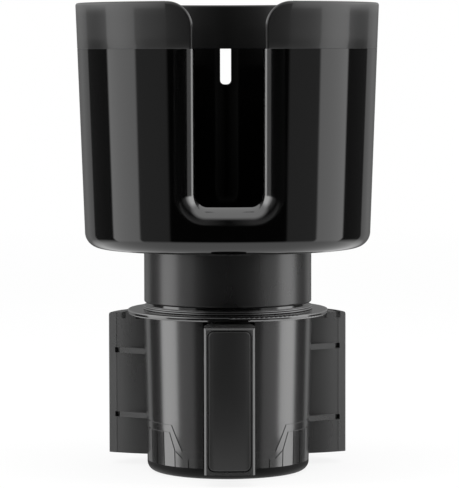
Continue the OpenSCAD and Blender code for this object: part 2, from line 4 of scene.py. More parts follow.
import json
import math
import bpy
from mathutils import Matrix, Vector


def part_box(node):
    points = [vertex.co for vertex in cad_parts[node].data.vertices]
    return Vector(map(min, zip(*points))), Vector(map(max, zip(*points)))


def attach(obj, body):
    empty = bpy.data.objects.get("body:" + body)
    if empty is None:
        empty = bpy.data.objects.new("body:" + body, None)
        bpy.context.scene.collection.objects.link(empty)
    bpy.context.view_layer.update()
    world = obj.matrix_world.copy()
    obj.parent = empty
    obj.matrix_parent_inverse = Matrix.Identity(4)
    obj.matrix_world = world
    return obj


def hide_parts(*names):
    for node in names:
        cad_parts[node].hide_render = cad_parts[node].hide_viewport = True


bl_info = {
    "name": "Cup Holder Expander",
    "version": (1, 0, 0),
    "blender": (4, 5, 0),
    "location": "View3D > Sidebar > Expander",
    "description": "Models and finishes a cup holder expander around its packed frame",
    "category": "Object",
}

import bpy
from mathutils import Vector

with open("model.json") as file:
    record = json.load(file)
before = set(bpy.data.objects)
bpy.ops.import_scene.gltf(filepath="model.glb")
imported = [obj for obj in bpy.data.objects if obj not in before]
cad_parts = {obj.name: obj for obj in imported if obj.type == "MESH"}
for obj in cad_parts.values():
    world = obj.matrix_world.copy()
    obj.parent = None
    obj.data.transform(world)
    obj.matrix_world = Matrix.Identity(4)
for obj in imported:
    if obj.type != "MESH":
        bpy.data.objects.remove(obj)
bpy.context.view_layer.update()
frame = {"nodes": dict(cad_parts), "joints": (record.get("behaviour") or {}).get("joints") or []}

MM = 0.001

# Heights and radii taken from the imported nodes. The mat lies on the cup's inner floor.
CUP_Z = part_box("cup_shell")[0].z
BAND_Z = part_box("rim_band")[0].z
RIM_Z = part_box("rim_band")[1].z
RIM_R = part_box("rim_band")[1].x
MAT_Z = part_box("floor_mat")[0].z
MAT_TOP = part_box("floor_mat")[1].z
MAT_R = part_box("floor_mat")[1].x
PAD_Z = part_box("pad_front")[0].z
PAD_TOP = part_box("pad_front")[1].z
PAD_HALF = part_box("pad_front")[1].x
PAD_FACE = -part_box("pad_front")[0].y

# Each leg's turn round the axis from the front one, in degrees.
LEG_TURNS = {"front": 0.0, "right": 120.0, "left": 240.0}

# Straight steps in a full turn of the cup and of its mat.
CUP_STEPS = 288
MAT_STEPS = 144
# Vertices closer than this become one.
WELD = 0.001 * MM
# Pieces to be joined miss each other's faces by a hair, so that no two lie in one plane.
HAIR = 0.02 * MM
# A cutter runs past the edge that it opens by this much.
PAST = 5 * MM
# Where a cutter through the front wall, or the back wall, starts and ends along Y.
FRONT_CUT = (-90 * MM, -20 * MM)
BACK_CUT = (30 * MM, 90 * MM)
# How far the slot's lip, and the edges of its shoulders, reach into the wall they join.
LIP_ROOT = 0.8 * MM
SHOULDER_ROOT = 0.6 * MM
# Radii between the cup's wall and floor inside, of the vent's corners and of the band's foot.
INNER_EDGE = 2.2 * MM
VENT_CORNER = 1.7 * MM
BAND_FOOT = 0.12 * MM
# Thickness of a pad.
PAD_DEPTH = 1.45 * MM

# Size of the photograph in pixels, and the width of the camera's sensor in millimetres.
PHOTO_WIDTH = 459
PHOTO_HEIGHT = 488
SENSOR_WIDTH = 36

# The floor's radius and grey, and how much the camera sees it as plain white.
FLOOR_R = 1.5
FLOOR_GREY = 0.92
FLOOR_GLOW = 0.85
# Lamps: name, place, width, height and power in watts. All aim at the middle of the object.
LAMP_TARGET = (0, 0, 0.09)
LAMPS = (
    ("side_light", (-0.9, -0.25, 0.35), 0.5, 1.1, 5.0),
    ("side_light", (0.9, -0.25, 0.35), 0.5, 1.1, 5.0),
    ("top_light", (0, -0.35, 1.2), 1.0, 1.0, 7.0),
)
# The room that glossy faces mirror: (degrees round from the front, grey) for the cards below
# the horizon and for the sky above it.
CARDS = ((0, 0.0), (46.5, 0.0), (48.5, 0.16), (74, 0.16), (76, 1.0), (104, 1.0),
         (106, 0.033), (134, 0.033), (136, 0.23), (150, 0.2), (160, 0.12),
         (170, 0.08), (180, 0.05))
SKY = ((0, 0.0), (30, 0.1), (60, 1.2), (110, 1.2), (140, 0.4), (180, 0.1))
ROOM_STRENGTH = 2.1
# The room's ceiling and ground are plain greys.
CEILING_GREY = 0.5
GROUND_GREY = 0.7
# Heights on the unit sphere between which the sky, the ceiling and the ground come in.
SKY_RISE = (0.0, 0.05)
CEILING_RISE = (0.55, 0.8)
GROUND_FALL = (-0.25, -0.45)

# Sockets of a Mix node by place: factor, two numbers, two colours, and the colour it gives.
MIX_FACTOR = 0
MIX_NUMBER_A, MIX_NUMBER_B = 2, 3
MIX_COLOUR_A, MIX_COLOUR_B = 6, 7
MIX_COLOUR = 2

# Plastics and rubbers: the colour's name in FinishColours, the roughness, and the values that
# aren't plastic()'s own.
FINISHES = {
    "cup_gloss": ("cup", 0.05, {
        "bump": 0.01, "flow_share": 0.8, "smear": 0.03, "dust": 0.001}),
    "lip_gloss": ("cup", 0.12, {
        "bump": 0.01, "flow_share": 0.8, "smear": 0.03, "dust": 0.001, "ior": 2.1}),
    "band_semigloss": ("band", 0.3, {
        "smear": 0.04, "dust": 0.001, "ior": 1.42, "coat": 0.35}),
    "neck_satin": ("satin", 0.26, {
        "bump": 0.03, "flow_share": 0.4, "smear": 0.04, "ior": 1.7}),
    "base_satin": ("satin", 0.19, {
        "flow_share": 0.4, "smear": 0.03, "ior": 2.1}),
    "scroll_gloss": ("scroll", 0.12, {
        "smear": 0.03, "ior": 2.0}),
    "cover_matt": ("satin", 0.5, {
        "bump": 0.04, "ior": 1.2}),
    "leg_satin": ("leg", 0.27, {
        "bump": 0.05, "grain_scale": 1600.0, "flow_share": 0.2, "ior": 1.8}),
    "grip_rubber": ("pad", 0.34, {
        "bump": 0.1, "grain_scale": 2200.0, "flow_share": 0.15, "smear": 0.08}),
    "washer_nylon": ("nylon", 0.35, {
        "bump": 0.05, "dust": 0.0}),
}


class CupSizes(bpy.types.PropertyGroup):
    """Sizes of the cup, its slot and its rim."""

    base_radius: bpy.props.FloatProperty(
        name="Base radius", description="Outer radius of the cup's wall at its underside",
        default=53.46 * MM, min=0.04, max=0.06, unit="LENGTH")
    wall: bpy.props.FloatProperty(
        name="Wall", description="Thickness of the cup's wall",
        default=2.4 * MM, min=0.002, max=0.003, unit="LENGTH")
    edge_radius: bpy.props.FloatProperty(
        name="Bottom edge", description="Radius of the cup's outer bottom edge",
        default=5.8 * MM, min=0.003, max=0.006, unit="LENGTH")
    slot_width: bpy.props.FloatProperty(
        name="Slot width", description="Width of the handle slot",
        default=26.6 * MM, min=0.02, max=0.032, unit="LENGTH")
    slot_sill: bpy.props.FloatProperty(
        name="Slot sill", description="Height of the slot's lower edge above the cup's underside",
        default=17.4 * MM, min=0.014, max=0.025, unit="LENGTH")
    slot_corner: bpy.props.FloatProperty(
        name="Slot corners", description="Radius of the slot's lower corners",
        default=4.7 * MM, min=0.003, max=0.008, unit="LENGTH")
    slot_shoulder: bpy.props.FloatProperty(
        name="Slot shoulders", description="Radius of the shoulders where the slot meets the rim",
        default=9.5 * MM, min=0.006, max=0.012, unit="LENGTH")
    lip_radius: bpy.props.FloatProperty(
        name="Lip", description="Depth of the lip that rolls inward along the slot",
        default=4.6 * MM, min=0.004, max=0.006, unit="LENGTH")
    lip_reach: bpy.props.FloatProperty(
        name="Lip reach",
        description="Distance from the slot at which its lip starts to roll inward",
        default=6.6 * MM, min=0.004, max=0.007, unit="LENGTH")
    rim_round: bpy.props.FloatProperty(
        name="Rim edges", description="Radius of the rim band's edges",
        default=0.9 * MM, min=0.0004, max=0.0011, unit="LENGTH")
    vent_width: bpy.props.FloatProperty(
        name="Vent width", description="Width of the vent in the back wall",
        default=4.3 * MM, min=0.004, max=0.007, unit="LENGTH")
    vent_height: bpy.props.FloatProperty(
        name="Vent height", description="Height of the vent under the rim band",
        default=14.0 * MM, min=0.008, max=0.02, unit="LENGTH")
    mat_ring: bpy.props.FloatProperty(
        name="Mat rings", description="Spacing of the rings moulded in the floor mat",
        default=4.0 * MM, min=0.002, max=0.008, unit="LENGTH")


class PadSizes(bpy.types.PropertyGroup):
    """Sizes of the rubber pads on the legs."""

    corner: bpy.props.FloatProperty(
        name="Corners", description="Radius of a pad's four corners",
        default=2.1 * MM, min=0.001, max=0.004, unit="LENGTH")
    round_edge: bpy.props.FloatProperty(
        name="Edge", description="Radius of a pad's front edge",
        default=0.45 * MM, min=0.0001, max=0.001, unit="LENGTH")


class FinishColours(bpy.types.PropertyGroup):
    """Colours of the finishes."""

    cup: bpy.props.FloatVectorProperty(
        name="Cup", description="Gloss plastic of the cup's wall",
        default=(0.0008, 0.0008, 0.0008), subtype="COLOR", min=0, max=1)
    band: bpy.props.FloatVectorProperty(
        name="Rim band", description="Semi-gloss plastic of the rim band",
        default=(0.004, 0.004, 0.004), subtype="COLOR", min=0, max=1)
    satin: bpy.props.FloatVectorProperty(
        name="Neck and base", description="Satin plastic of the neck and the base",
        default=(0.002, 0.002, 0.002), subtype="COLOR", min=0, max=1)
    scroll: bpy.props.FloatVectorProperty(
        name="Scroll disc", description="Gloss plastic of the scroll disc",
        default=(0.003, 0.003, 0.003), subtype="COLOR", min=0, max=1)
    leg: bpy.props.FloatVectorProperty(
        name="Legs", description="Satin plastic of the legs",
        default=(0.018, 0.018, 0.018), subtype="COLOR", min=0, max=1)
    pad: bpy.props.FloatVectorProperty(
        name="Pads", description="Rubber of the pads and the mat",
        default=(0.007, 0.007, 0.007), subtype="COLOR", min=0, max=1)
    steel: bpy.props.FloatVectorProperty(
        name="Screws", description="Zinc-plated steel of the screws",
        default=(0.55, 0.55, 0.54), subtype="COLOR", min=0, max=1)
    nylon: bpy.props.FloatVectorProperty(
        name="Washer", description="Nylon of the friction washer",
        default=(0.78, 0.77, 0.74), subtype="COLOR", min=0, max=1)


class StageSettings(bpy.types.PropertyGroup):
    """Camera and light."""

    distance: bpy.props.FloatProperty(
        name="Distance", description="Distance of the camera from the turning axis",
        default=1.09, min=0.5, max=3, unit="LENGTH")
    height: bpy.props.FloatProperty(
        name="Height", description="Height of the camera above the floor",
        default=0.1587, min=0.0, max=1, unit="LENGTH")
    azimuth: bpy.props.FloatProperty(
        name="Azimuth", description="Turn of the camera round the object",
        default=math.radians(-0.7), subtype="ANGLE")
    scale: bpy.props.FloatProperty(
        name="Image scale", description="Focal length in pixels of the photograph",
        default=2900, min=500, max=9000)
    horizon: bpy.props.FloatProperty(
        name="Horizon", description="Row of the photograph at the camera's own height, in pixels",
        default=48.5, min=-500, max=500)
    axis_column: bpy.props.FloatProperty(
        name="Axis column", description="Column of the photograph where the turning axis stands",
        default=227.65, min=0, max=459)
    roll: bpy.props.FloatProperty(
        name="Roll", description="Lean of the photograph to one side",
        default=math.radians(-0.12), subtype="ANGLE")
    room_light: bpy.props.FloatProperty(
        name="Room light", description="Plain level of the light from all round",
        default=0.7, min=0, max=2)


# Mesh helpers

def only(piece):
    """Selects this piece alone and makes it active."""
    if bpy.context.object and bpy.context.object.mode != "OBJECT":
        bpy.ops.object.mode_set(mode="OBJECT")
    bpy.ops.object.select_all(action="DESELECT")
    piece.select_set(True)
    bpy.context.view_layer.objects.active = piece


def draw_chain(name, points, closed=False):
    """A piece that starts as one vertex, extruded from point to point."""
    bpy.ops.object.select_all(action="DESELECT")
    bpy.ops.mesh.primitive_plane_add(size=MM, location=(0, 0, 0))
    piece = bpy.context.object
    piece.name = name
    bpy.ops.object.mode_set(mode="EDIT")
    bpy.ops.mesh.select_mode(type="VERT")
    bpy.ops.mesh.merge(type="CENTER")
    here = Vector(points[0])
    bpy.ops.transform.translate(value=here)
    for point in points[1:]:
        bpy.ops.mesh.extrude_region_move(
            TRANSFORM_OT_translate={"value": Vector(point) - here})
        here = Vector(point)
    if closed:
        bpy.ops.mesh.select_all(action="SELECT")
        bpy.ops.mesh.edge_face_add()
    bpy.ops.object.mode_set(mode="OBJECT")
    return piece


def lathe(name, profile, steps):
    """A piece spun about Z from a half profile of (radius, height) pairs."""
    piece = draw_chain(name, [(r, 0, z) for r, z in profile])
    bpy.ops.object.mode_set(mode="EDIT")
    bpy.ops.mesh.select_all(action="SELECT")
    bpy.ops.mesh.spin(steps=steps, angle=2 * math.pi, center=(0, 0, 0), axis=(0, 0, 1))
    bpy.ops.mesh.select_all(action="SELECT")
    bpy.ops.mesh.remove_doubles(threshold=WELD)
    bpy.ops.mesh.normals_make_consistent(inside=False)
    bpy.ops.object.mode_set(mode="OBJECT")
    return piece


def prism_front(name, outline, y_near, y_far):
    """A block drawn as an outline in the front view and extruded backward."""
    piece = draw_chain(name, [(x, y_near, z) for x, z in outline], closed=True)
    bpy.ops.object.mode_set(mode="EDIT")
    bpy.ops.mesh.select_all(action="SELECT")
    bpy.ops.mesh.extrude_region_move(
        TRANSFORM_OT_translate={"value": (0, y_far - y_near, 0)})
    bpy.ops.mesh.select_all(action="SELECT")
    bpy.ops.mesh.normals_make_consistent(inside=False)
    bpy.ops.object.mode_set(mode="OBJECT")
    return piece


def combine(piece, other, operation, material_mode="INDEX"):
    """Applies a Boolean modifier with another piece, which is used up."""
    only(piece)
    step = piece.modifiers.new("combine", "BOOLEAN")
    step.operation = operation
    step.solver = "EXACT"
    step.material_mode = material_mode
    step.object = other
    bpy.ops.object.modifier_apply(modifier=step.name)
    bpy.data.objects.remove(other)


def smooth_shade(piece, degrees=30):
    """Shades a piece smooth, except at edges sharper than this angle."""
    only(piece)
    bpy.ops.object.shade_smooth_by_angle(angle=math.radians(degrees))


def dress(piece, material, body, slot, *nodes):
    """Gives a new piece its body and hides the nodes it stands for.

    It gets the material too, unless it already has its own. Its slot is not used.
    """
    if material:
        piece.data.materials.clear()
        piece.data.materials.append(material)
    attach(piece, body)
    if nodes:
        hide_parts(*nodes)


def arc(cx, cz, r, start, end, count):
    """Points on an arc, its angles in degrees."""
    return [(cx + r * math.cos(math.radians(start + (end - start) * k / count)),
             cz + r * math.sin(math.radians(start + (end - start) * k / count)))
            for k in range(count + 1)]


def spread(first, last, count):
    """Evenly spaced points after the first, up to the last."""
    return [(first[0] + (last[0] - first[0]) * k / count,
             first[1] + (last[1] - first[1]) * k / count)
            for k in range(1, count + 1)]


# The cup's shape

def cup_lean():
    """How much the wall's radius grows for each metre of height."""
    sizes = bpy.context.scene.cup_sizes
    return (RIM_R - sizes.base_radius) / (RIM_Z - CUP_Z)


def cup_radius(z):
    """The wall's outer radius at a height."""
    return bpy.context.scene.cup_sizes.base_radius + cup_lean() * (z - CUP_Z)


def wall_profile(sizes):
    """Half section of the cup's wall and floor, from the middle of its underside."""
    lean = cup_lean()
    slope = math.sqrt(1 + lean ** 2)
    tilt = math.degrees(math.atan(lean))
    edge = sizes.edge_radius
    centre = sizes.base_radius + lean * edge - edge * slope
    inner_centre = cup_radius(MAT_Z) - sizes.wall + lean * INNER_EDGE - INNER_EDGE * slope
    outer = arc(centre, CUP_Z + edge, edge, -90, -tilt, 18)
    inner = arc(inner_centre, MAT_Z + INNER_EDGE, INNER_EDGE, -90, -tilt, 10)
    profile = [(0, CUP_Z)] + spread((0, CUP_Z), outer[0], 5) + outer[1:]
    profile += spread(outer[-1], (cup_radius(BAND_Z), BAND_Z), 12)
    profile += [(cup_radius(BAND_Z) - sizes.wall, BAND_Z)]
    profile += spread(profile[-1], inner[-1], 10) + inner[-2::-1] + [(0, MAT_Z)]
    return profile


def slot_outline(sizes, grow, top):
    """The handle slot in the front view, grown by a margin, up to a height."""
    half = sizes.slot_width / 2 + grow
    r = sizes.slot_corner + grow
    low = CUP_Z + sizes.slot_sill - grow
    return ([(-half, top)] + arc(-half + r, low + r, r, 180, 270, 12)
            + arc(half - r, low + r, r, 270, 360, 12) + [(half, top)])


def vent_outline(sizes):
    """The vent in the front view, open at the wall's top."""
    half = sizes.vent_width / 2
    r = VENT_CORNER
    low = BAND_Z - sizes.vent_height
    top = BAND_Z + MM
    return ([(-half, top)] + arc(-half + r, low + r, r, 180, 270, 6)
            + arc(half - r, low + r, r, 270, 360, 6) + [(half, top)])


def lip_section(sizes):
    """The lip's section: its outer face, rounded end, inner face and root in the wall."""
    wall = sizes.wall
    reach = sizes.lip_reach
    r = sizes.lip_radius
    inner_r = r - wall + 2 * HAIR
    centre = r + HAIR
    # The outer face bends along the first 60 degrees of an ellipse.
    bend = math.radians(60)
    section = [(HAIR + reach * (1 - math.sin(a) / math.sin(bend)),
                HAIR + r * (1 - math.cos(a)) / (1 - math.cos(bend)))
               for a in [bend * k / 15 for k in range(16)]]
    # The end is a flattened half circle between the outer and the inner face.
    flat = 0.35
    nose = wall / 2 - HAIR
    nose_centre = centre - ((r + r - wall) / 2 + HAIR / 2)
    section += [(nose_centre + nose * math.cos(math.radians(180 - 20 * k)),
                 centre + flat * nose * math.sin(math.radians(20 * k)))
                for k in range(1, 9)]
    section += [(centre - inner_r * math.sin(a), centre - inner_r * math.cos(a))
                for a in [math.radians(90 - 9 * k) for k in range(11)]]
    section += [(reach + HAIR, wall - HAIR), (reach + LIP_ROOT, wall - 8 * HAIR),
                (reach + LIP_ROOT, 8 * HAIR)]
    return section


def slot_path(sizes, top):
    """The slot's own edge, from its left top down, across and up."""
    half = sizes.slot_width / 2
    r = sizes.slot_corner
    low = CUP_Z + sizes.slot_sill
    side = 14
    bottom = 8
    corner = 18
    path = [(-half, top + (low + r - top) * k / side, math.pi) for k in range(side)]
    for k in range(corner + 1):
        a = math.pi + math.pi / 2 * k / corner
        path.append((-half + r + r * math.cos(a), low + r + r * math.sin(a), a))
    for k in range(1, bottom):
        path.append((-half + r + 2 * (half - r) * k / bottom, low, 1.5 * math.pi))
    for k in range(corner + 1):
        a = 1.5 * math.pi + math.pi / 2 * k / corner
        path.append((half - r + r * math.cos(a), low + r + r * math.sin(a), a))
    for k in range(1, side + 1):
        path.append((half, low + r + (top - low - r) * k / side, 2 * math.pi))
    return path


def band_profile(sizes):
    """Half section of the rim band, from the outer side of its foot round to it again."""
    edge = sizes.rim_round
    wall = sizes.wall
    low_r = cup_radius(BAND_Z)
    tilt = math.degrees(math.atan(cup_lean()))
    profile = [(low_r - BAND_FOOT, BAND_Z)]
    profile += arc(low_r - BAND_FOOT, BAND_Z + BAND_FOOT, BAND_FOOT, -90, -tilt, 3)[1:]
    profile += spread(profile[-1], (RIM_R, RIM_Z - edge), 4)
    profile += arc(RIM_R - edge, RIM_Z - edge, edge, 0, 90, 8)[1:]
    profile += arc(RIM_R - wall + edge, RIM_Z - edge, edge, 90, 180, 8)
    profile += spread(profile[-1], (low_r - wall, BAND_Z + BAND_FOOT), 4)
    profile += [(low_r - wall + BAND_FOOT, BAND_Z), profile[0]]
    return profile


def shoulder_outline(sizes, grow):
    """The slot and its two shoulders in the front view, grown by a margin."""
    half = sizes.slot_width / 2
    shoulder = sizes.slot_shoulder
    turn_x = half + shoulder
    turn_z = RIM_Z - shoulder
    left = arc(-turn_x, turn_z, shoulder - grow, 90, 0, 14)
    right = arc(turn_x, turn_z, shoulder - grow, 180, 90, 14)
    return ([(-turn_x, RIM_Z + PAST)] + left
            + [(-half - grow, BAND_Z - PAST), (half + grow, BAND_Z - PAST)]
            + right + [(turn_x, RIM_Z + PAST)])


def shoulder_section(sizes, grow):
    """The section of the band's rounded edge along the slot, with its root in the band."""
    edge = sizes.rim_round
    wall = sizes.wall
    section = [(grow + SHOULDER_ROOT, 4 * HAIR), (grow, HAIR)]
    section += [(edge - edge * math.sin(a) + HAIR, edge - edge * math.cos(a) + HAIR)
                for a in [math.radians(10 * k) for k in range(1, 10)]]
    section += [(edge - edge * math.sin(a) + HAIR, wall - edge + edge * math.cos(a) - HAIR)
                for a in [math.radians(90 - 10 * k) for k in range(0, 9)]]
    section += [(grow, wall - HAIR), (grow + SHOULDER_ROOT, wall - 4 * HAIR)]
    return section


def shoulder_path(sizes, side):
    """The band's edge on one side of the slot, from its foot up and round to the rim."""
    half = sizes.slot_width / 2
    shoulder = sizes.slot_shoulder
    turn_x = half + shoulder
    turn_z = RIM_Z - shoulder
    away = math.pi if side < 0 else 0.0
    foot = BAND_Z + HAIR
    path = [(side * (half - HAIR), foot + (turn_z - foot) * k / 4, away) for k in range(4)]
    for k in range(21):
        a = math.radians(180 - 90 * k / 20)
        x = turn_x + (shoulder + HAIR) * math.cos(a)
        z = turn_z + (shoulder - HAIR) * math.sin(a)
        inward = a + math.pi
        if side < 0:
            x, inward = -x, math.pi - inward
        path.append((x, z, inward))
    path.append((side * (turn_x + SHOULDER_ROOT), RIM_Z - 2 * HAIR, 1.5 * math.pi))
    return path


def swept_edge(name, path, section):
    """A closed section swept along an edge of the leaning, curved wall.

    A path point is (x, z, angle that points away from the opening), and a
    section point is (distance from the opening's edge, depth under the face).
    """
    ring = section + section[:1]
    bpy.ops.object.select_all(action="DESELECT")
    bpy.ops.mesh.primitive_grid_add(
        x_subdivisions=len(ring) - 1, y_subdivisions=len(path) - 1, size=1)
    piece = bpy.context.object
    piece.name = name
    for index, vertex in enumerate(piece.data.vertices):
        x, z, angle = path[index // len(ring)]
        distance, depth = ring[index % len(ring)]
        x += math.cos(angle) * distance
        z += math.sin(angle) * distance
        turn = math.asin(x / cup_radius(z))
        r = cup_radius(z) - depth
        vertex.co = (r * math.sin(turn), -r * math.cos(turn), z)
    bpy.ops.object.mode_set(mode="EDIT")
    bpy.ops.mesh.select_all(action="SELECT")
    bpy.ops.mesh.remove_doubles(threshold=WELD)
    bpy.ops.mesh.select_all(action="DESELECT")
    bpy.ops.mesh.select_non_manifold()
    bpy.ops.mesh.fill_holes(sides=0)
    bpy.ops.mesh.select_all(action="SELECT")
    bpy.ops.mesh.normals_make_consistent(inside=False)
    bpy.ops.object.mode_set(mode="OBJECT")
    return piece


# The front pad's shape

def flat_pad(sizes):
    """The front pad as a flat block, cut into narrow columns that can be bent."""
    r = sizes.corner
    corners = [(PAD_HALF - r, PAD_Z + r, -90), (PAD_HALF - r, PAD_TOP - r, 0),
               (-PAD_HALF + r, PAD_TOP - r, 90), (-PAD_HALF + r, PAD_Z + r, 180)]
    outline = []
    for x, z, start in corners:
        outline += arc(x, z, r, start, start + 90, 8)
    pad = prism_front("grip_pad_front", outline, -PAD_DEPTH, 0)
    bpy.ops.object.mode_set(mode="EDIT")
    columns = 24
    for k in range(1, columns):
        bpy.ops.mesh.select_all(action="SELECT")
        bpy.ops.mesh.bisect(plane_co=(-PAD_HALF + 2 * PAD_HALF * k / columns, 0, 0),
                            plane_no=(1, 0, 0))
    bpy.ops.object.mode_set(mode="OBJECT")
    return pad


def wrap_pad(pad):
    """Bends the flat pad round the leg's face, whose curve is centred off the axis.

    With the leg drawn in, the face's centre would be on the axis.
    """
    travel = next(joint["range_m"][1] for joint in frame["joints"]
                  if joint["name"] == "front_leg_slide")
    face = PAD_FACE - travel
    for vertex in pad.data.vertices:
        r = face - PAD_DEPTH - vertex.co.y
        vertex.co.y = -travel - math.sqrt(r ** 2 - vertex.co.x ** 2)


def soften_pad(pad, width):
    """Rounds the pad's edges."""
    only(pad)
    soften = pad.modifiers.new("soften", "BEVEL")
    soften.width = width
    soften.segments = 3
    soften.limit_method = "ANGLE"
    soften.angle_limit = math.radians(50)
    bpy.ops.object.modifier_apply(modifier=soften.name)
    smooth_shade(pad, 40)


def turned_copy(piece, name, degrees):
    """A copy of a piece, turned counterclockwise about Z as seen from above."""
    only(piece)
    bpy.ops.object.duplicate()
    copy = bpy.context.object
    copy.name = name
    bpy.ops.object.mode_set(mode="EDIT")
    bpy.ops.mesh.select_all(action="SELECT")
    # The operator counts its angle the other way round.
    bpy.ops.transform.rotate(value=-math.radians(degrees), orient_axis="Z",
                             center_override=(0, 0, 0))
    bpy.ops.object.mode_set(mode="OBJECT")
    return copy


# Node helpers

def grey(level):
    """An opaque grey."""
    return (level, level, level, 1)


def link(tree, source, output, target, socket):
    """Links an output to an input, each given by its name or place."""
    tree.links.new(source.outputs[output], target.inputs[socket])


def node(tree, kind, place, **values):
    """A new node; a value is a setting of the node or, failing that, of an input."""
    made = tree.nodes.new(kind)
    made.location = place
    for key, value in values.items():
        if hasattr(made, key):
            setattr(made, key, value)
        else:
            made.inputs[key].default_value = value
    return made


def map_range(tree, place, low, high, to_low=0.0, to_high=1.0):
    """A node that maps one range of numbers onto another."""
    return node(tree, "ShaderNodeMapRange", place, **{
        "From Min": low, "From Max": high, "To Min": to_low, "To Max": to_high})


def new_material(name):
    """An empty node material and its node tree."""
    material = bpy.data.materials.new(name)
    material.use_nodes = True
    material.node_tree.nodes.clear()
    return material, material.node_tree


def new_group(name, inputs, outputs):
    """A shader node group with named sockets, and its two end nodes."""
    tree = bpy.data.node_groups.new(name, "ShaderNodeTree")
    for label, kind, value in inputs:
        socket = tree.interface.new_socket(label, in_out="INPUT", socket_type=kind)
        if value is not None:
            socket.default_value = value
    for label in outputs:
        tree.interface.new_socket(label, in_out="OUTPUT", socket_type="NodeSocketFloat")
    start = node(tree, "NodeGroupInput", (-900, 0))
    end = node(tree, "NodeGroupOutput", (600, 0))
    return tree, start, end


def moulded_skin_group():
    """Fine unevenness of a moulded skin: a height for bump."""
    tree, start, end = new_group(
        "moulded_skin",
        [("Position", "NodeSocketVector", None), ("Grain Scale", "NodeSocketFloat", 900.0),
         ("Flow Scale", "NodeSocketFloat", 45.0), ("Flow Share", "NodeSocketFloat", 0.5)],
        ["Height"])
    grain = node(tree, "ShaderNodeTexNoise", (-600, 150), Detail=3.0, Roughness=0.55)
    flow = node(tree, "ShaderNodeTexNoise", (-600, -150), Detail=1.0, Roughness=0.4)
    blend = node(tree, "ShaderNodeMix", (-250, 0), data_type="FLOAT")
    link(tree, start, "Position", grain, "Vector")
    link(tree, start, "Grain Scale", grain, "Scale")
    link(tree, start, "Position", flow, "Vector")
    link(tree, start, "Flow Scale", flow, "Scale")
    link(tree, start, "Flow Share", blend, MIX_FACTOR)
    link(tree, grain, "Fac", blend, MIX_NUMBER_A)
    link(tree, flow, "Fac", blend, MIX_NUMBER_B)
    link(tree, blend, 0, end, "Height")
    return tree


def handling_group():
    """Smudges and dust left by handling: a smear mask and a dust mask."""
    tree, start, end = new_group(
        "handling",
        [("Position", "NodeSocketVector", None), ("Smear Scale", "NodeSocketFloat", 28.0),
         ("Dust Scale", "NodeSocketFloat", 700.0), ("Dust Amount", "NodeSocketFloat", 0.1)],
        ["Smears", "Dust"])
    stretch = node(tree, "ShaderNodeMapping", (-700, 150), Scale=(1.0, 1.0, 0.35))
    smear = node(tree, "ShaderNodeTexNoise", (-450, 150), Detail=5.0, Roughness=0.62)
    soften = map_range(tree, (-150, 150), 0.42, 0.75)
    dust = node(tree, "ShaderNodeTexVoronoi", (-450, -150))
    speck = map_range(tree, (-150, -150), 0.12, 0.02)
    amount = node(tree, "ShaderNodeMath", (150, -150), operation="MULTIPLY")
    link(tree, start, "Position", stretch, "Vector")
    link(tree, stretch, "Vector", smear, "Vector")
    link(tree, start, "Smear Scale", smear, "Scale")
    link(tree, smear, "Fac", soften, "Value")
    link(tree, soften, "Result", end, "Smears")
    link(tree, start, "Position", dust, "Vector")
    link(tree, start, "Dust Scale", dust, "Scale")
    link(tree, dust, "Distance", speck, "Value")
    link(tree, speck, "Result", amount, 0)
    link(tree, start, "Dust Amount", amount, 1)
    link(tree, amount, 0, end, "Dust")
    return tree


def group_node(tree, name, place):
    """A node for one of the two groups, which is built when first asked for."""
    builders = {"moulded_skin": moulded_skin_group, "handling": handling_group}
    made = node(tree, "ShaderNodeGroup", place)
    made.node_tree = bpy.data.node_groups.get(name) or builders[name]()
    return made


def plastic(name, colour, rough, bump=0.02, grain_scale=900.0, flow_share=0.5,
            smear=0.05, dust=0.002, ior=1.5, coat=0.0):
    """A moulded plastic or rubber with a fine skin, smudges and dust."""
    material, tree = new_material(name)
    place = node(tree, "ShaderNodeTexCoord", (-1100, 0))
    skin = group_node(tree, "moulded_skin", (-800, -250))
    skin.inputs["Grain Scale"].default_value = grain_scale
    skin.inputs["Flow Share"].default_value = flow_share
    touch = group_node(tree, "handling", (-800, 150))
    touch.inputs["Dust Amount"].default_value = dust
    link(tree, place, "Object", skin, "Position")
    link(tree, place, "Object", touch, "Position")
    tint = node(tree, "ShaderNodeMix", (-450, 250), data_type="RGBA")
    tint.inputs[MIX_COLOUR_A].default_value = (*colour, 1)
    tint.inputs[MIX_COLOUR_B].default_value = (*[0.25 + 0.5 * c for c in colour], 1)
    link(tree, touch, "Dust", tint, MIX_FACTOR)
    sheen = map_range(tree, (-450, 0), 0.0, 1.0, rough, rough + smear)
    link(tree, touch, "Smears", sheen, "Value")
    relief = node(tree, "ShaderNodeBump", (-450, -250), Strength=bump, Distance=0.1 * MM)
    link(tree, skin, "Height", relief, "Height")
    shader = node(tree, "ShaderNodeBsdfPrincipled", (-100, 0), **{
        "IOR": ior, "Coat Weight": coat, "Coat Roughness": 0.03})
    link(tree, tint, MIX_COLOUR, shader, "Base Color")
    link(tree, sheen, "Result", shader, "Roughness")
    link(tree, relief, "Normal", shader, "Normal")
    end = node(tree, "ShaderNodeOutputMaterial", (250, 0))
    link(tree, shader, "BSDF", end, "Surface")
    return material


def finish(name):
    """A plastic or rubber listed in FINISHES, which is built when first asked for."""
    existing = bpy.data.materials.get(name)
    if existing:
        return existing
    colour, rough, unusual = FINISHES[name]
    return plastic(name, getattr(bpy.context.scene.finish_colours, colour), rough, **unusual)


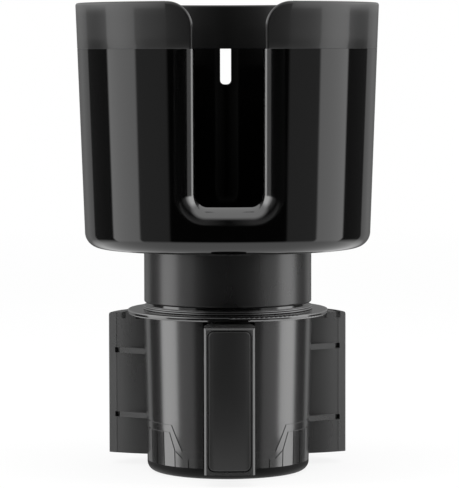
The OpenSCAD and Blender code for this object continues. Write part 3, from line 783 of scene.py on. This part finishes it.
def plated_steel():
    """Zinc-plated steel with fine turning marks."""
    colour = bpy.context.scene.finish_colours.steel
    material, tree = new_material("plated_steel")
    place = node(tree, "ShaderNodeTexCoord", (-1000, 0))
    marks = node(tree, "ShaderNodeTexNoise", (-750, 0), Scale=2500.0, Detail=4.0)
    dull = map_range(tree, (-450, 0), 0.0, 1.0, 0.22, 0.42)
    relief = node(tree, "ShaderNodeBump", (-450, -250), Strength=0.08, Distance=0.05 * MM)
    shader = node(tree, "ShaderNodeBsdfPrincipled", (-100, 0), **{
        "Metallic": 1.0, "Base Color": (*colour, 1)})
    end = node(tree, "ShaderNodeOutputMaterial", (250, 0))
    link(tree, place, "Object", marks, "Vector")
    link(tree, marks, "Fac", dull, "Value")
    link(tree, marks, "Fac", relief, "Height")
    link(tree, dull, "Result", shader, "Roughness")
    link(tree, relief, "Normal", shader, "Normal")
    link(tree, shader, "BSDF", end, "Surface")
    return material


def finish_node(name, material):
    """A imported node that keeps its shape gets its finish."""
    kept = frame["nodes"][name]
    kept.data.materials.clear()
    kept.data.materials.append(material)


# Pieces

class EXPANDER_OT_cup_wall(bpy.types.Operator):
    """Models the cup's wall and floor, its vent and the lip rolled along its slot"""

    bl_idname = "expander.cup_wall"
    bl_label = "Cup wall"

    def execute(self, context):
        sizes = context.scene.cup_sizes
        wall = lathe("cup_wall", wall_profile(sizes), CUP_STEPS)
        slot = slot_outline(sizes, sizes.lip_reach, RIM_Z + PAST)
        combine(wall, prism_front("slot_cut", slot, *FRONT_CUT), "DIFFERENCE")
        combine(wall, prism_front("vent_cut", vent_outline(sizes), *BACK_CUT), "DIFFERENCE")
        lip = swept_edge("slot_lip", slot_path(sizes, BAND_Z - HAIR), lip_section(sizes))
        # The lip's own faces are a little less polished than the wall.
        wall.data.materials.append(finish("cup_gloss"))
        lip.data.materials.append(finish("lip_gloss"))
        combine(wall, lip, "UNION", "TRANSFER")
        smooth_shade(wall)
        dress(wall, None, "cup", "gloss_black", "cup_shell")
        return {"FINISHED"}


class EXPANDER_OT_rim_ring(bpy.types.Operator):
    """Models the paler rim band with its rounded shoulders and edges"""

    bl_idname = "expander.rim_ring"
    bl_label = "Rim band"

    def execute(self, context):
        sizes = context.scene.cup_sizes
        ring = lathe("rim_ring", band_profile(sizes), CUP_STEPS)
        # The cut leaves room for the rounded edges, which are swept along it.
        grow = sizes.rim_round + HAIR
        opening = shoulder_outline(sizes, grow)
        combine(ring, prism_front("shoulder_cut", opening, *FRONT_CUT), "DIFFERENCE")
        for side in (-1, 1):
            edge = swept_edge("shoulder_edge", shoulder_path(sizes, side),
                              shoulder_section(sizes, grow))
            combine(ring, edge, "UNION")
        smooth_shade(ring)
        dress(ring, finish("band_semigloss"), "cup", "band_grey", "rim_band")
        return {"FINISHED"}


class EXPANDER_OT_ringed_mat(bpy.types.Operator):
    """Models the soft mat on the cup's floor with its moulded rings"""

    bl_idname = "expander.ringed_mat"
    bl_label = "Floor mat"

    def execute(self, context):
        pitch = context.scene.cup_sizes.mat_ring
        foot = 0.2 * MM
        edge = 0.5 * MM
        dip = 0.35 * MM
        slope = 0.25 * MM
        land = 0.6 * MM
        profile = [(0, MAT_Z), (MAT_R - foot, MAT_Z), (MAT_R, MAT_Z + foot)]
        profile += arc(MAT_R - edge, MAT_TOP - edge, edge, 0, 90, 5)
        rings = int((MAT_R - pitch) / pitch)
        for k in range(rings, 0, -1):
            r = k * pitch
            profile += [(r + land / 2 + slope, MAT_TOP), (r + land / 2, MAT_TOP - dip),
                        (r - land / 2, MAT_TOP - dip), (r - land / 2 - slope, MAT_TOP)]
        profile += [(0, MAT_TOP)]
        mat = lathe("ringed_mat", profile, MAT_STEPS)
        smooth_shade(mat, 25)
        dress(mat, finish("grip_rubber"), "cup", "mat_rubber", "floor_mat")
        return {"FINISHED"}


class EXPANDER_OT_grip_pads(bpy.types.Operator):
    """Models the curved rubber pads with rounded edges, one for each leg"""

    bl_idname = "expander.grip_pads"
    bl_label = "Grip pads"

    def execute(self, context):
        sizes = context.scene.pad_sizes
        pad = flat_pad(sizes)
        wrap_pad(pad)
        soften_pad(pad, sizes.round_edge)
        pads = {name: turned_copy(pad, "grip_pad_" + name, turn) if turn else pad
                for name, turn in LEG_TURNS.items()}
        for name, piece in pads.items():
            dress(piece, finish("grip_rubber"), name + "_leg", "pad_rubber", "pad_" + name)
        return {"FINISHED"}


class EXPANDER_OT_packed_finishes(bpy.types.Operator):
    """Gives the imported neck, scroll disc, base, cover, legs and fasteners their finishes"""

    bl_idname = "expander.packed_finishes"
    bl_label = "Neck, base and legs"

    def execute(self, context):
        finish_node("neck_sleeve", finish("neck_satin"))
        finish_node("scroll_disc", finish("scroll_gloss"))
        finish_node("base_housing", finish("base_satin"))
        finish_node("bottom_cover", finish("cover_matt"))
        for name in LEG_TURNS:
            finish_node("leg_" + name, finish("leg_satin"))
        steel = plated_steel()
        for name in ("cup_screws", "neck_screws", "cover_screws", "keeper_screw",
                     "keeper_washer"):
            finish_node(name, steel)
        finish_node("friction_washer", finish("washer_nylon"))
        return {"FINISHED"}


class EXPANDER_OT_stage(bpy.types.Operator):
    """Sets the floor, the light and the camera"""

    bl_idname = "expander.stage"
    bl_label = "Stage"

    def execute(self, context):
        settings = context.scene.stage_settings
        self.floor()
        self.world(context, settings)
        for lamp in LAMPS:
            self.softbox(*lamp)
        self.camera(context, settings)
        context.scene.view_settings.view_transform = "Standard"
        return {"FINISHED"}

    def softbox(self, name, place, width, height, power):
        """A rectangular lamp that glossy faces don't mirror."""
        bpy.ops.object.light_add(type="AREA", location=place)
        lamp = bpy.context.object
        lamp.name = name
        lamp.data.shape = "RECTANGLE"
        lamp.data.size = width
        lamp.data.size_y = height
        lamp.data.energy = power
        aim = Vector(LAMP_TARGET) - Vector(place)
        lamp.rotation_euler = aim.to_track_quat("-Z", "Y").to_euler()
        lamp.visible_glossy = False

    def floor(self):
        """A round floor that glossy faces don't mirror."""
        bpy.ops.object.select_all(action="DESELECT")
        bpy.ops.mesh.primitive_circle_add(vertices=96, radius=FLOOR_R, fill_type="NGON",
                                          location=(0, 0, 0))
        floor = bpy.context.object
        floor.name = "floor"
        floor.visible_glossy = False
        floor.data.materials.append(self.floor_material())

    def floor_material(self):
        """A pale floor that shows white and keeps the object's soft shadow.

        Towards its edge it fades into the white of the background.
        """
        material, tree = new_material("pale_floor")
        path = node(tree, "ShaderNodeLightPath", (-700, 200))
        share = node(tree, "ShaderNodeMath", (-250, 200), operation="MULTIPLY")
        share.inputs[1].default_value = FLOOR_GLOW
        paint = node(tree, "ShaderNodeBsdfDiffuse", (-250, 0), Color=grey(FLOOR_GREY))
        glow = node(tree, "ShaderNodeEmission", (-250, -150))
        mix = node(tree, "ShaderNodeMixShader", (50, 0))
        link(tree, path, "Is Camera Ray", share, 0)
        link(tree, share, 0, mix, 0)
        link(tree, paint, 0, mix, 1)
        link(tree, glow, 0, mix, 2)
        place = node(tree, "ShaderNodeTexCoord", (-700, -300))
        reach = node(tree, "ShaderNodeVectorMath", (-450, -300), operation="LENGTH")
        fade = map_range(tree, (-250, -300), 0.2 * FLOOR_R, FLOOR_R)
        clear = node(tree, "ShaderNodeBsdfTransparent", (50, -200))
        faded = node(tree, "ShaderNodeMixShader", (300, -100))
        link(tree, place, "Object", reach, 0)
        link(tree, reach, "Value", fade, "Value")
        link(tree, fade, "Result", faded, 0)
        link(tree, mix, 0, faded, 1)
        link(tree, clear, 0, faded, 2)
        end = node(tree, "ShaderNodeOutputMaterial", (500, 0))
        link(tree, faded, 0, end, "Surface")
        return material

    def world(self, context, settings):
        """White for the camera, a room that glossy faces mirror, and plain light."""
        world = bpy.data.worlds.new("studio")
        context.scene.world = world
        world.use_nodes = True
        # Rough surfaces then mirror the room too, and not the plain light.
        world.cycles.sampling_method = "NONE"
        tree = world.node_tree
        tree.nodes.clear()
        room = self.room(tree)
        path = node(tree, "ShaderNodeLightPath", (-200, 500))
        mirrored = node(tree, "ShaderNodeBackground", (100, 100), Strength=ROOM_STRENGTH)
        plain = node(tree, "ShaderNodeBackground", (100, -100), Color=grey(1),
                     Strength=settings.room_light)
        white = node(tree, "ShaderNodeBackground", (100, -250), Color=grey(1))
        gloss_mix = node(tree, "ShaderNodeMixShader", (350, 0))
        seen_mix = node(tree, "ShaderNodeMixShader", (550, 0))
        end = node(tree, "ShaderNodeOutputWorld", (750, 0))
        link(tree, room, MIX_COLOUR, mirrored, "Color")
        link(tree, path, "Is Glossy Ray", gloss_mix, 0)
        link(tree, plain, 0, gloss_mix, 1)
        link(tree, mirrored, 0, gloss_mix, 2)
        link(tree, path, "Is Camera Ray", seen_mix, 0)
        link(tree, gloss_mix, 0, seen_mix, 1)
        link(tree, white, 0, seen_mix, 2)
        link(tree, seen_mix, 0, end, "Surface")

    def room(self, tree):
        """Cards all round below the horizon, a sky above it, a ceiling and a ground."""
        place = node(tree, "ShaderNodeTexCoord", (-1500, 0))
        split = node(tree, "ShaderNodeSeparateXYZ", (-1300, 0))
        link(tree, place, "Generated", split, "Vector")
        # The turn from the front, alike on both sides, is a share of half a circle.
        aside = node(tree, "ShaderNodeMath", (-1100, 100), operation="ABSOLUTE")
        ahead = node(tree, "ShaderNodeMath", (-1100, -100), operation="MULTIPLY")
        ahead.inputs[1].default_value = -1
        around = node(tree, "ShaderNodeMath", (-900, 0), operation="ARCTAN2")
        turn = node(tree, "ShaderNodeMath", (-700, 0), operation="DIVIDE")
        turn.inputs[1].default_value = math.pi
        link(tree, split, "X", aside, 0)
        link(tree, split, "Y", ahead, 0)
        link(tree, aside, 0, around, 0)
        link(tree, ahead, 0, around, 1)
        link(tree, around, 0, turn, 0)
        cards = self.ramp(tree, (-500, 0), turn, CARDS)
        sky = self.ramp(tree, (-500, -200), turn, SKY)
        sky_mix = self.height_mix(tree, (-350, 0), split, SKY_RISE)
        link(tree, cards, "Color", sky_mix, MIX_COLOUR_A)
        link(tree, sky, "Color", sky_mix, MIX_COLOUR_B)
        ceiling_mix = self.height_mix(tree, (-200, 200), split, CEILING_RISE)
        ceiling_mix.inputs[MIX_COLOUR_B].default_value = grey(CEILING_GREY)
        link(tree, sky_mix, MIX_COLOUR, ceiling_mix, MIX_COLOUR_A)
        ground_mix = self.height_mix(tree, (-50, 400), split, GROUND_FALL)
        ground_mix.inputs[MIX_COLOUR_B].default_value = grey(GROUND_GREY)
        link(tree, ceiling_mix, MIX_COLOUR, ground_mix, MIX_COLOUR_A)
        return ground_mix

    def ramp(self, tree, place, turn, stops):
        """A ramp of greys at angles round from the front."""
        made = node(tree, "ShaderNodeValToRGB", place)
        elements = made.color_ramp.elements
        while len(elements) < len(stops):
            elements.new(0.5)
        for stop, (degrees, level) in zip(elements, stops):
            stop.position = degrees / 180
            stop.color = grey(level)
        link(tree, turn, 0, made, "Fac")
        return made

    def height_mix(self, tree, place, split, heights):
        """A colour mix that changes over between two heights."""
        x, y = place
        share = map_range(tree, (x - 200, y + 100), *heights)
        made = node(tree, "ShaderNodeMix", place, data_type="RGBA")
        link(tree, split, "Z", share, "Value")
        link(tree, share, "Result", made, MIX_FACTOR)
        return made

    def camera(self, context, settings):
        """A camera that puts the axis and its own height where the photograph has them."""
        a = settings.azimuth
        place = Vector((math.sin(a), -math.cos(a), 0)) * settings.distance
        place.z = settings.height
        data = bpy.data.cameras.new("camera")
        camera = bpy.data.objects.new("camera", data)
        context.scene.collection.objects.link(camera)
        context.scene.camera = camera
        data.sensor_fit = "AUTO"
        data.sensor_width = SENSOR_WIDTH
        data.lens = settings.scale * data.sensor_width / max(PHOTO_WIDTH, PHOTO_HEIGHT)
        data.clip_start = 0.05
        data.clip_end = 50
        dip = math.atan((PHOTO_HEIGHT / 2 - settings.horizon) / settings.scale)
        aside = math.atan((PHOTO_WIDTH / 2 - settings.axis_column) / settings.scale)
        camera.location = place
        camera.rotation_euler = (math.pi / 2 - dip, 0, a - aside)
        camera.rotation_euler.rotate_axis("Z", settings.roll)


class EXPANDER_PT_panel(bpy.types.Panel):
    """The pieces of the expander and their sizes"""

    bl_idname = "EXPANDER_PT_panel"
    bl_label = "Cup holder expander"
    bl_space_type = "VIEW_3D"
    bl_region_type = "UI"
    bl_category = "Expander"

    def draw(self, context):
        layout = self.layout
        for operator in OPERATORS:
            layout.operator(operator.bl_idname)
        for key in GROUPS:
            group = getattr(context.scene, key)
            box = layout.box()
            for name in group.bl_rna.properties.keys():
                if name not in ("rna_type", "name"):
                    box.prop(group, name)


GROUPS = {"cup_sizes": CupSizes, "pad_sizes": PadSizes,
          "finish_colours": FinishColours, "stage_settings": StageSettings}
OPERATORS = (EXPANDER_OT_cup_wall, EXPANDER_OT_rim_ring, EXPANDER_OT_ringed_mat,
             EXPANDER_OT_grip_pads, EXPANDER_OT_packed_finishes, EXPANDER_OT_stage)


def register():
    for name, group in GROUPS.items():
        bpy.utils.register_class(group)
        setattr(bpy.types.Scene, name, bpy.props.PointerProperty(type=group))
    for operator in OPERATORS:
        bpy.utils.register_class(operator)
    bpy.utils.register_class(EXPANDER_PT_panel)


def unregister():
    bpy.utils.unregister_class(EXPANDER_PT_panel)
    for operator in reversed(OPERATORS):
        bpy.utils.unregister_class(operator)
    for name, group in GROUPS.items():
        delattr(bpy.types.Scene, name)
        bpy.utils.unregister_class(group)


def main():
    register()
    bpy.ops.expander.cup_wall()
    bpy.ops.expander.rim_ring()
    bpy.ops.expander.ringed_mat()
    bpy.ops.expander.grip_pads()
    bpy.ops.expander.packed_finishes()
    bpy.ops.expander.stage()


if __name__ == "__main__":
    main()
